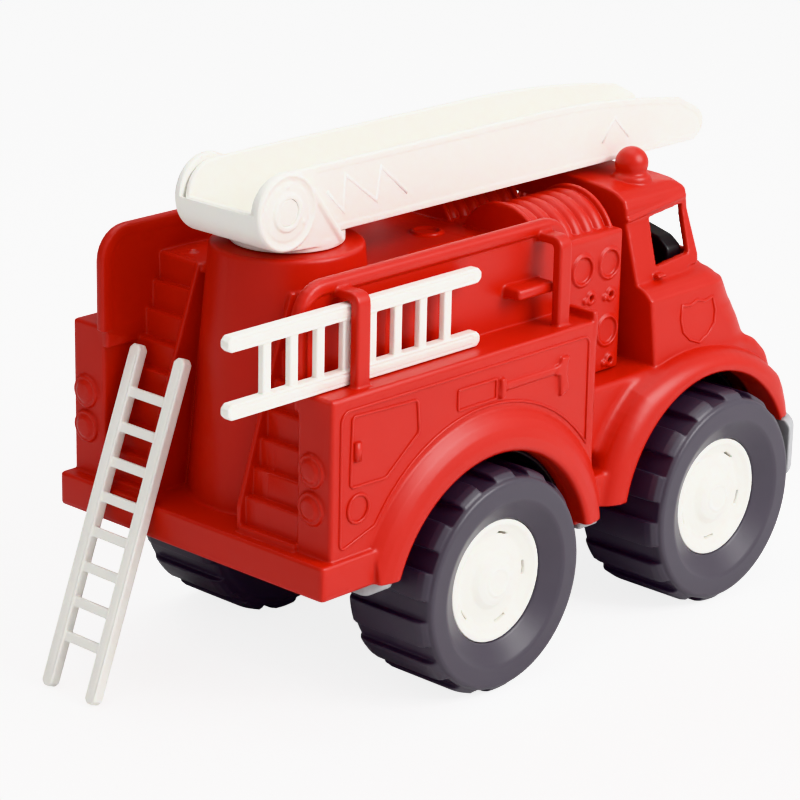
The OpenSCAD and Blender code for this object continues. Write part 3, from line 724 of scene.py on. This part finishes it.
def front_fender():
    """A quarter-round bulge between a flat outer contour and the lip round the wheel."""
    contour = [(65, 40)] + arc(FRONT_ARCH, 61.6, 172, 131, -4)
    contour += arc((123.3, 21.4), 77.3, 117, 48, -4)
    contour += [(176.4, 75), (178.2, 68), (NOSE, 60), (NOSE, 40)]
    bulge = FRONT_LIP - CAB_SIDE

    def fn(x, y, z):
        rho = np.sqrt((x - FRONT_ARCH[0]) ** 2 + (z - FRONT_ARCH[1]) ** 2)
        out = rho - (FRONT_ARCH_R + 2.0)
        wide = np.maximum(out - poly_distance(x, z, contour), 5.0)
        a, b = np.maximum(out, 0) / wide, np.maximum(-CAB_SIDE - y, 0) / bulge
        g = np.sqrt(a * a + b * b) + 1e-4
        d = (g - 1) * g / np.sqrt((a / wide) ** 2 + (b / bulge) ** 2 + 1e-9)
        d = np.maximum(d, -12)
        d = np.maximum(d, 40 + y)
        return edge(d, FRONT_ARCH_R - rho, 1.2)
    return fn, np.array([60.0, -67.0, 45.0]), np.array([NOSE, -38.0, 100.0])


def cab_shell():
    f = half_grid((56, -69, 50), (181, 0, 175.5), 0.62)
    solid = cab_solid()
    # low deck between the pump house and the cab, running into the fenders; then the sills
    f.add(box((BODY_END, -56, 70), (CAB_BACK + 3, 4, 95.5), 2.5))
    f.add(both(front_fender(), box((BODY_END, -80, 51.2), (NOSE, -30, 140), 0.8)), 5.0)
    f.add(box((BODY_END, -62.2, 51.2), (80, -46, 63.8), 1.2), 1.4)
    # cab, and the wings that carry its sides forward to the nose
    f.add(solid, 0.5)
    wing = rounded([(135, 51.2), (135, 98.6), (152, 98.2), (160, 96.8), (166, 94), (173, 87.6),
                    (177.2, 78), (NOSE, 66), (NOSE, 51.2)], [0, 0, 14, 12, 12, 12, 10, 8, 0], 5)
    f.add(prism("y", wing, -56.8, -40, 3.6), 1.5)
    # hollow
    f.cut(both(grown(solid, -2.6), box((90, -60, 40), (180, 10, 159.2), 1.0)))
    f.cut(box((BODY_END + 2.6, -49.4, 40), (CAB_BACK + 20, 10, 93.1), 0.5))
    # front panel behind the bumper
    f.add(box((168.4, -40, 45), (171, 4, 65), 0.4))
    f.add(box((168.4, -50, 62.5), (NOSE - 2, 4, 65), 0.6))
    # wheel openings
    f.cut(rod("y", FRONT_ARCH, FRONT_ARCH_R, -90, -32), 0.8)
    # door window, windscreen and grille
    window = rounded([(114.4, 130.7), (134.2, 132.4), (134.8, 150.9), (115.2, 148.9)], 0.9)
    f.cut(prism("y", window, -60, -30), 0.5)
    screen = rounded([(-41, 132.5), (41, 132.5), (36.6, 152.4), (-36.6, 152.4)], 2)
    f.cut(prism("x", screen, 130, 150), 0.6)
    back = rounded([(-30, 134), (30, 134), (26.5, 151), (-26.5, 151)], 4)
    f.cut(prism("x", back, 96, 108), 0.5)
    for z in (72.5, 77.5, 82.5):
        f.cut(box((165, -24, z - 1.3), (190, 10, z + 1.3), 0.8), 0.8)
    # drip rail and door handle
    f.add(capsule((102.2, -40.4, 150.2), (136.5, -39.6, 153.6), 0.8), 0.8)
    f.add(box((111.5, -49.0, 127.2), (116.5, -44, 128.7), 0.6), 0.4)
    # beacon
    dome = [(0, 158), (7.6, 158), (7.6, 161.9), (7.1, 162.7), (6.2, 163.3), (5.9, 164.1)]
    dome += arc((0, 167), 6.4, -20, 91, 10)
    f.add(lathe("z", (119.5, -27), dome), 0.8)
    # gaps to the rear body, the pump house and the bumper
    f.cut(box((40, -90, 0), (BODY_END, 10, 200)))
    f.cut(box((0, -45.4, 95.9), (94.1, 10, 200)))
    f.cut(box((171.1, -90, 0), (200, 10, 62.4)))
    f.cut(box((NOSE, -90, 0), (200, 10, 200)), 0.8)
    f.cut(box((0, -90, 0), (200, 10, 51)))
    return f.mirrored()


def shield():
    """A plain heraldic outline."""
    x, z = 128.7, 109.0
    half = [(0, 8), (4.2, 6.6), (9.2, 7.4), (10.4, 2.2), (9.4, -2.8), (5.6, -6.4), (0, -8.6)]
    return ([(x + a, z + b) for a, b in half] + [(x - a, z + b) for a, b in half[-2:0:-1]])


# ---------------------------------------------------------------- cab interior, arch liners

def cab_interior():
    f = half_grid((103, -46, 99), (137, 0, 142), 0.5)
    f.add(box((105.2, -44, 101), (134, 4, 104), 0.8))
    f.add(box((105.2, -40, 103), (118, 4, 118), 2.0), 1.0)
    f.add(box((105.2, -40, 103), (112, 4, 138), 2.4), 1.5)
    f.cut(box((117.2, -1.2, 104), (120, 1.2, 117), 0.4), 0.4)
    f.cut(box((110, -1.0, 119), (114, 1.0, 139), 0.4), 0.4)
    f.add(box((126, -40, 103), (134, 4, 127), 1.0), 1.0)
    dash = rounded([(-40.8, 118), (-40.8, 134.6), (-36, 138.2), (-24, 141.2), (20, 141.4),
                    (20, 118)], [0, 3, 6, 8, 0, 0])
    f.add(prism("x", dash, 126.4, 134.8, 0.9), 0.5)
    f.add(capsule((126.5, -30.5, 138.4), (126.5, -37, 126), 0.5), 0.3)
    for k in range(5):
        f.cut(box((125.4, -34 + 7 * k, 120), (126.6, -32 + 7 * k, 125), 0.4), 0.3)
    f = f.mirrored()
    wheel = (23, 122)
    f.add(ring("x", wheel, 123.6, 7.2, 0.9), 0.3)
    f.add(rod("x", wheel, 1.6, 122.8, 127, 0.3), 0.6)
    for a in (90, 210, 330):
        f.add(capsule((123.6, *wheel), (123.6, *on_circle(wheel, 6.8, a)), 0.7), 0.5)
    return f


def liner(arch, radius, out):
    """Black shell inside a pair of arches, ribbed, out to |y| = out."""
    r = radius - 0.1
    f = half_grid((arch[0] - r - 1, -out - 1, 50), (arch[0] + r + 1, 0, arch[1] + r + 1), 0.55)
    f.add(rod("y", arch, r, -out, -35.9, 0.3))
    f.cut(rod("y", arch, r - 1.7, -out - 1, -34.5), 0.2)
    for k in range(-3, 4):
        c = on_circle(arch, r - 1.7, 90 + 22 * k)
        f.add(capsule((c[0], -out + 3, c[1]), (c[0], -37, c[1]), 0.7), 0.6)
    f.cut(box((-200, -200, 0), (400, 200, 52)), 0.2)
    f.cut(box((171, -200, 0), (400, 200, 64)), 0.2)
    f.add(box((arch[0] - 4.4, -35, arch[1] + 30), (arch[0] + 5, 4, arch[1] + 33), 0.4), 0.3)
    return f.mirrored()


# ---------------------------------------------------------------- chassis and axles

def chassis():
    f = half_grid((-67, -72, 31), (186.5, 0, 63), 0.66)
    inner, top = 30.5, 50.6
    f.add(box((-30, -inner, 43.5), (177, 4, top), 0.8))
    f.add(box((-66, -inner, 47), (-28, 4, top), 0.8), 0.6)
    tab = rounded([(-60, -63), (-45, -63), (-45, 4), (-60, 4)], [3, 3, 0, 0])
    f.add(prism("z", tab, 50, 55.6, 1.4), 0.8)
    link = rounded([(51, -65), (62, -65), (62, 4), (51, 4)], [1.2, 1.2, 0, 0])
    f.add(prism("z", link, 46.4, top, 0.6), 0.6)
    for x in (0, WHEELBASE):
        f.cut(box((x - 7.9, -90, 20), (x + 7.9, 10, 60)))
        f.add(box((x - 7.7, -inner, 32.9), (x + 7.7, 4, top), 1.4))
        for y in (-21, -7):
            f.cut(box((x - 9, y - 4.5, 46.5), (x + 9, y + 4.5, 49), 0.8), 0.4)
    for x in (14, 84):
        f.cut(box((x, -inner + 3, 40), (x + 30, 10, top - 2.6), 0.8), 0.6)
        for k in range(1, 4):
            f.add(box((x + 7.5 * k - 0.8, -inner + 2, 44.2), (x + 7.5 * k + 0.8, 4, top - 1), 0.3),
                  0.5)
    plan = rounded([(145, -71), (185.3, -71), (185.3, 71), (145, 71)], [0, 18, 18, 0], 12)
    f.add(both(prism("z", plan, 38, 62, 4.2), box((171.3, -80, 30), (190, 10, 70), 1.5)))
    f.cut(prism("z", rounded([(168, -67.5), (182.0, -67.5), (182.0, 67.5), (168, 67.5)],
                             [1, 10, 10, 1]), 20, 43, 0.5), 0.8)
    f.cut(box((184.6, -60, 48.6), (190, 10, 51.4), 0.7), 0.7)
    for x in (0, WHEELBASE):
        f.cut(rod("y", (x, WHEEL_Z), AXLE_BORE_R, -60, 20), 0.4)
    return f.mirrored()


def axle(x):
    f = half_grid((x - 6.5, -67, WHEEL_Z - 6.5), (x + 6.5, 0, WHEEL_Z + 6.5), 0.42)
    f.add(lathe("y", (x, WHEEL_Z), [(0, 8), (0, -66.2), (4.4, -66.2), (5.2, -65.4), (5.2, -63.9),
                                    (4.5, -63.1), (4.5, 8)]))
    for k in range(-3, 3):
        f.cut(ring("y", (x, WHEEL_Z), -8.0 + 8 * k, 4.7, 0.45), 0.3)
    return f.mirrored()


# ---------------------------------------------------------------- wheels

def polar(f, count):
    """Grid of a wheel drawn round (0, WHEEL_Z): depth, radius and distance across the
    nearest of a number of evenly spaced spokes."""
    x, y, z = f.axis[0][:, None, None], f.axis[1][None, :, None], f.axis[2][None, None, :]
    turn = np.arctan2(z - WHEEL_Z, x)
    rho = np.sqrt(x ** 2 + (z - WHEEL_Z) ** 2)
    sector = 2 * math.pi / count
    turn = (turn + sector / 2) % sector - sector / 2
    return y, rho, rho * np.sin(turn)


def tyre():
    f = whole_grid((-43, -76, WHEEL_Z - 43), (43, -33, WHEEL_Z + 43), 0.58)
    y, rho, side = polar(f, 14)
    centre = (0, WHEEL_Z)
    crown = [(36, -35.5), (39.9, -35.7), (41.2, -37.0), (41.9, -40.5), (41.9, -69), (41.3, -71.6),
             (40.0, -73.2), (36, -73.2)]
    f.add(lathe("y", centre, crown))
    groove = np.maximum(np.maximum(abs(side) - 4.0, 39.2 - rho), -73.5 - y)
    k = 0.6
    d, s = f.d, -groove
    h = np.maximum(k - abs(d - s), 0) / k
    f.d = (np.maximum(d, s) + h * h * k / 4).astype(np.float32)
    core = rounded([(24.55, -34), (36.2, -34), (39.5, -37), (39.5, -73.2), (39.0, -74.5),
                    (37.8, -75), (31.6, -75), (30.4, -74.5), (23.1, -70.1), (23.1, -68),
                    (24.55, -68)], [0.4, 2, 2, 1.2, 1.2, 1.2, 0.8, 1.6, 0.5, 0.3, 0.2])
    f.add(lathe("y", centre, core), 0.8)
    return f


def hub():
    f = whole_grid((-26, -72.6, WHEEL_Z - 26), (26, -35, WHEEL_Z + 26), 0.46)
    face = rounded([(AXLE_BORE_R, -40), (8, -40), (8, -61), (21.5, -61), (21.5, -40), (24.5, -40),
                    (24.5, -67.9), (22.9, -67.9), (22.9, -69.9), (21.2, -70.1), (19.6, -68.8),
                    (16.4, -67.0), (11.2, -68.2), (9, -70.2), (7, -71.0), (0, -71.3), (0, -68),
                    (5.4, -68), (5.4, -62.8), (AXLE_BORE_R, -62.8)],
                   [0, 0.4, 0, 1, 0.5, 0.4, 0.2, 0.2, 0.5, 0.9, 1.4, 2.4, 1.6, 1.2, 1.0, 0, 0,
                    0.2, 0, 0])
    f.add(lathe("y", (0, WHEEL_Z), face))
    y, rho, side = polar(f, 5)
    slot = np.maximum(np.maximum(abs(side) - 2.9, abs(rho - 17.3) - 0.5), y + 60.5)
    f.d = np.maximum(f.d, -slot).astype(np.float32)
    f.add(ring("y", (0, WHEEL_Z), -71.0, 5.0, 0.5), 0.8)
    return f


def place_wheel(x, left, turn):
    """Puts a right-hand wheel at x, turned from +x towards +z, mirrored for the left side."""
    spin = Matrix.Rotation(math.radians(-turn), 4, "Y")
    side = Matrix.Scale(-1, 4, (0, 1, 0)) if left else Matrix.Identity(4)
    return (Matrix.Translation((x, 0, WHEEL_Z)) @ spin @ side
            @ Matrix.Translation((0, 0, -WHEEL_Z)))


# ---------------------------------------------------------------- turntable and boom

def yoke():
    f = half_grid((-73.5, -22.5, 151), (-15, 0, 194), 0.44)
    base = TOWER_Z + 0.3
    tangent = on_circle(PIVOT, BARREL_R, 39)
    f.add(rod("z", (TOWER_X, 0), 20.5, base, 165.5, 0.7))
    cheek = rounded([tangent, (-27.3, base + 0.6), (PIVOT[0], base + 3), PIVOT], [0, 2.2, 2, 0])
    f.add(prism("y", cheek, -20.4, -18, 0.5), 0.6)
    f.add(rod("y", PIVOT, BARREL_R, -20.8, -18, 0.7), 0.5)
    # rim and hub rings of the disc, and the rib along the cheek's front edge
    f.add(ring("y", PIVOT, -20.7, 13.0, 0.75), 0.5)
    f.cut(ring("y", PIVOT, -21.3, 10.9, 0.75), 0.6)
    f.add(rod("y", PIVOT, 6.8, -21.7, -18, 0.7), 0.8)
    rib = (tangent[0] + 1.5, -19.9, tangent[1] - 3.4)
    f.add(capsule(rib, (-30.6, -19.9, base + 3.0), 1.5), 0.8)
    for a in (90, 330):
        f.add(rod("y", on_circle(PIVOT, 9, a), 0.9, -21.2, -20, 0.3), 0.3)
    # barrel wall behind and under the boom
    r = BOOM_R + 0.4
    wall = arc(PIVOT, BARREL_R, 176, 271, 5) + arc(PIVOT, r, 270, 175, -5)
    f.add(prism("y", wall, -18.4, 20, 0.4), 0.4)
    f.add(rod("z", (TOWER_X, 0), 9.0, TOWER_Z - 9, TOWER_Z + 1, 0.4))
    f.add(rod("z", (TOWER_X, 0), 10.0, TOWER_Z - 7.6, TOWER_Z - 4.2, 0.5, radius_b=9.2))
    f.cut(rod("z", (TOWER_X, 0), 6.0, TOWER_Z - 12, TOWER_Z - 1))
    f.cut(rod("y", PIVOT, 4.86, -40, 20), 0.4)
    f.cut(box((PIVOT[0] - r, -18, PIVOT[1] - 1), (PIVOT[0] + 60, 10, 220)))
    f.cut(rod("y", PIVOT, r, -18, 20))
    return f.mirrored()


def boom_outline():
    """Side view of the boom: its rim is straight to the middle and then curves down."""
    tip, long, tall = 174.3, 11.5, 8
    pts = arc(PIVOT, BOOM_R, 270, 95, -8)
    pts += [(x, 191.3 - 0.00098 * max(x - 75, 0) ** 2) for x in range(-50, 163, 10)]
    pts += [(tip - long + long * math.cos(math.radians(a)),
             173 + tall * math.sin(math.radians(a))) for a in range(60, -61, -10)]
    return pts + [(tip - 6, PIVOT[1] - BOOM_R)]


def boom():
    f = half_grid((-71.5, -22.2, 165), (176, 0, 192.5), 0.5)
    f.add(prism("y", boom_outline(), -BOOM_SIDE, 20, 0.7))
    # lips along the rim and the bottom edge
    f.add(both(prism("y", boom_outline(), -BOOM_SIDE - 0.2, 20, 0.3, hollow=2.4),
               box((-40, -30, 160), (176, 20, 200))), 0.4)
    r = BOOM_R - BOOM_WALL
    inside = -BOOM_SIDE + BOOM_WALL
    trough = arc(PIVOT, r, 270, 179, -6)
    trough += [(PIVOT[0] - r, 220), (250, 220), (250, PIVOT[1] - r)]
    f.cut(prism("y", trough, inside, 20, 0.8), 0.7)
    f.cut(box((-90, inside, PIVOT[1] + 0.8), (PIVOT[0], 20, 220)), 0.5)
    # cross ribs on the trough's floor and the stiffener behind the pivot
    for k in range(12):
        x = -30 + 16.5 * k
        f.add(box((x - 0.8, -16, 167), (x + 0.8, 6, PIVOT[1] - r + 0.9), 0.4), 0.6)
    f.add(box((PIVOT[0] + 3, -16, 167), (PIVOT[0] + 4.4, 6, 173), 0.4), 0.5)
    f.add(rod("y", PIVOT, 4.8, -21.2, -16, 0.5))
    return f.mirrored()


# ---------------------------------------------------------------- ladders

def ladder(length, first, last):
    """Flat ladder along +x, its width in z and its thickness in y, with the distances of
    its first and last rung from the rails' ends."""
    f = whole_grid((-1.5, -3.2, -1.5), (length + 1.5, 3.2, LADDER_W + 1.5), 0.4)
    rail, bevel = 5.5, 1.6
    for z in (0, LADDER_W - rail):
        side = [(bevel, z), (length - bevel, z), (length, z + bevel),
                (length, z + rail - bevel), (length - bevel, z + rail), (bevel, z + rail),
                (0, z + rail - bevel), (0, z + bevel)]
        f.add(prism("y", rounded(side, 0.5, 3), -LADDER_T / 2, LADDER_T / 2, 0.7))
        for y in (-LADDER_T / 2, LADDER_T / 2):
            for e in (1.25, rail - 1.25):
                f.cut(box((4, y - 0.22, z + e - 0.25), (length - 4, y + 0.22, z + e + 0.25)),
                      0.2)
    pitch = (length - first - last) / 7
    for k in range(8):
        x = first + pitch * k
        f.add(box((x - 1.85, -1.43, rail - 1), (x + 1.85, 1.43, LADDER_W - rail + 1), 0.6), 0.5)
    return f


def loose_placement():
    """Stands the ladder on the floor and leans it on the edge of the rear step."""
    lean = math.radians(20.6)
    foot = STEP_BACK - STEP_Z * math.tan(lean) - (0.3 + LADDER_T / 2) / math.cos(lean)
    lift = LADDER_T / 2 * math.sin(lean)
    move = Matrix.Translation((foot + lift * math.tan(lean), 30, lift))
    return (move @ Matrix.Rotation(lean, 4, "Y") @ Matrix.Rotation(-math.pi / 2, 4, "Y")
            @ Matrix.Rotation(math.pi / 2, 4, "X") @ Matrix.Translation((0, 0, -LADDER_W / 2)))


# ---------------------------------------------------------------- build everything

piece("rear_body", rear_body(), RED, "truck", keep=MOST_FACES)
panel = rounded([(-75.6, 72.4), (-75.6, 121.5), (52, 121.5), (52, 81)], [2, 4, 3, 0])
panel += arc((-2, 39), 68.4, 38, 149, 4)
door = rounded([(-70.3, 119.0), (-38.5, 117.9), (-37.4, 106), (-53.7, 93.3), (-71, 93.7)],
               [1.5, 1.5, 3, 3, 2])
plate = rounded([(-17.8, 109), (2, 109), (2, 116.4), (-17.8, 116.4)], 0.8)
cap = [on_circle((-67, 85.6), 5, 360 * k / 28) for k in range(28)]
relief("locker_relief",
       [(panel, 1.0, 0.5, True), (door, 1.0, 0.55, True), (plate, 1.0, 0.55, True),
        (cap, 1.2, 0.7, True), ([(-67.7, 102.9), (-67.7, 109.5)], 3.2, 1.3, False)],
       RED, "truck", y=LOCKER_Y)

cab = cab_shell()
piece("cab_shell", cab, RED, "truck", keep=MOST_FACES)
relief("cab_relief", [(shield(), 1.0, 0.5, True)], RED, "truck", on=cab)
piece("cab_interior", cab_interior(), BLACK, "truck")
piece("front_arch_liner", liner(FRONT_ARCH, FRONT_ARCH_R, 48), BLACK, "truck")
piece("rear_arch_liner", liner(REAR_ARCH, REAR_ARCH_R, 62), BLACK, "truck")
piece("chassis_frame", chassis(), GREY, "truck", keep=MOST_FACES)
piece("front_axle", axle(WHEELBASE), GREY, "truck")
piece("rear_axle", axle(0), GREY, "truck")
tyre_field, hub_field = tyre(), hub()
# place, x, left or not, and how far the tyre's lugs and the hub's slots are turned
for where, x, left, lugs, slots in (
        ("front_right", WHEELBASE, 0, -6, -17), ("front_left", WHEELBASE, 1, -6, -17),
        ("rear_right", 0, 0, 0, 0), ("rear_left", 0, 1, 0, 0)):
    piece("tyre_" + where, tyre_field, TYRE, "wheel_" + where, place_wheel(x, left, lugs))
    piece("hub_" + where, hub_field, WHITE, "wheel_" + where, place_wheel(x, left, slots))
piece("turntable_yoke", yoke(), WHITE, "turntable")
piece("boom", boom(), WHITE, "boom_arm", keep=MOST_FACES)
relief("boom_relief",
       [([(-35, 181.3), (-26.5, 172.6), (-26, 185.8), (-10, 173.6), (-8, 185.6), (5.5, 173.8)],
         1.2, 0.35, False),
        ([(113, 173.8), (120, 182.6), (128.8, 174)], 1.2, 0.35, False)],
       WHITE, "boom_arm", y=BOOM_SIDE - 0.05)
piece("side_ladder", ladder(121.5, 18.2, 16.1), WHITE, "held_ladder",
      Matrix.Translation((-119.8, -55.4, SHELF_Z + 0.3)))
piece("loose_ladder", ladder(127.0, 19.4, 17.0), WHITE, "free_ladder", loose_placement())


# ---------------------------------------------------------------- floor, light, camera

FLOOR_GLOW = 0.9
BACKDROP = 3.5
ROOM_DIM, ROOM_BRIGHT = 0.22, 0.85


def stage():
    """A pale floor, lifted towards the white of the backdrop for the camera alone."""
    mesh = bpy.data.meshes.new("floor")
    s = 3.0
    mesh.from_pydata([(-s, -s, 0), (s, -s, 0), (s, s, 0), (-s, s, 0)], [], [(0, 1, 2, 3)])
    mat = bpy.data.materials.new("floor")
    mat.use_nodes = True
    t = mat.node_tree
    b = t.nodes["Principled BSDF"]
    b.inputs["Base Color"].default_value = (0.80, 0.80, 0.80, 1)
    b.inputs["Roughness"].default_value = 0.8
    b.inputs["Specular IOR Level"].default_value = 0.1
    b.inputs["Emission Color"].default_value = (1, 1, 1, 1)
    path = node(t, "ShaderNodeLightPath", (-600, 0))
    glow = node(t, "ShaderNodeMath", (-300, 0), _operation="MULTIPLY")
    glow.inputs[1].default_value = FLOOR_GLOW
    t.links.new(path.outputs["Is Camera Ray"], glow.inputs[0])
    t.links.new(glow.outputs["Value"], b.inputs["Emission Strength"])
    scene_object("floor", mesh, mat)


def area(name, at, aim, size, power):
    """A square light of the given size."""
    light = bpy.data.lights.new(name, "AREA")
    light.shape = "RECTANGLE"
    light.size, light.size_y = size, size
    light.energy = power
    obj = scene_object(name, light)
    obj.location = at
    obj.rotation_euler = (Vector(aim) - Vector(at)).to_track_quat("-Z", "Y").to_euler()


def studio():
    """White to the camera; a dim room, brighter overhead and on the right, to the model."""
    world = bpy.data.worlds.new("studio")
    bpy.context.scene.world = world
    world.use_nodes = True
    t = world.node_tree
    t.nodes.clear()
    link = t.links.new
    out = node(t, "ShaderNodeOutputWorld", (800, 0))
    mix = node(t, "ShaderNodeMixShader", (600, 0))
    path = node(t, "ShaderNodeLightPath", (300, 300))
    seen = node(t, "ShaderNodeBackground", (300, -200), Color=(1, 1, 1, 1), Strength=BACKDROP)
    room = node(t, "ShaderNodeBackground", (300, 0), Color=(1, 1, 1, 1))
    where = node(t, "ShaderNodeTexCoord", (-600, 0))
    aim = node(t, "ShaderNodeVectorMath", (-400, 0), _operation="DOT_PRODUCT")
    aim.inputs[1].default_value = Vector((0.30, -0.70, 0.65)).normalized()
    level = node(t, "ShaderNodeMapRange", (-100, 0),
                 **{"From Min": -0.6, "From Max": 1.0, "To Min": ROOM_DIM, "To Max": ROOM_BRIGHT})
    link(where.outputs["Generated"], aim.inputs[0])
    link(aim.outputs["Value"], level.inputs["Value"])
    link(level.outputs["Result"], room.inputs["Strength"])
    link(path.outputs["Is Camera Ray"], mix.inputs["Fac"])
    link(room.outputs["Background"], mix.inputs[1])
    link(seen.outputs["Background"], mix.inputs[2])
    link(mix.outputs["Shader"], out.inputs["Surface"])


stage()
studio()
area("key", (0.35, -1.15, 0.95), (0, 0, 0.08), 0.8, 17.8)
area("fill", (-1.2, -0.2, 0.7), (0, 0, 0.1), 0.8, 1.2)
area("top", (0.1, 0.2, 1.4), (0, 0, 0.1), 1.2, 7)

cam_data = bpy.data.cameras.new("camera")
cam_data.sensor_width = 36.0
cam_data.lens = 142.929
cam_data.clip_start = 0.05
cam = scene_object("camera", cam_data)
right = Vector((0.68901, -0.72451, 0.01906)).normalized()
forward = Vector((0.69120, 0.64897, -0.31793)).normalized()
up = right.cross(forward)
rot = Matrix((right, up, -forward)).transposed()
cam.matrix_world = Matrix.Translation(
    Vector((-793.09 + SHIFT, -765.79, 462.91)) * MM) @ rot.to_4x4()
bpy.context.scene.camera = cam
bpy.context.scene.view_settings.view_transform = "Khronos PBR Neutral"

bpy.context.view_layer.update()
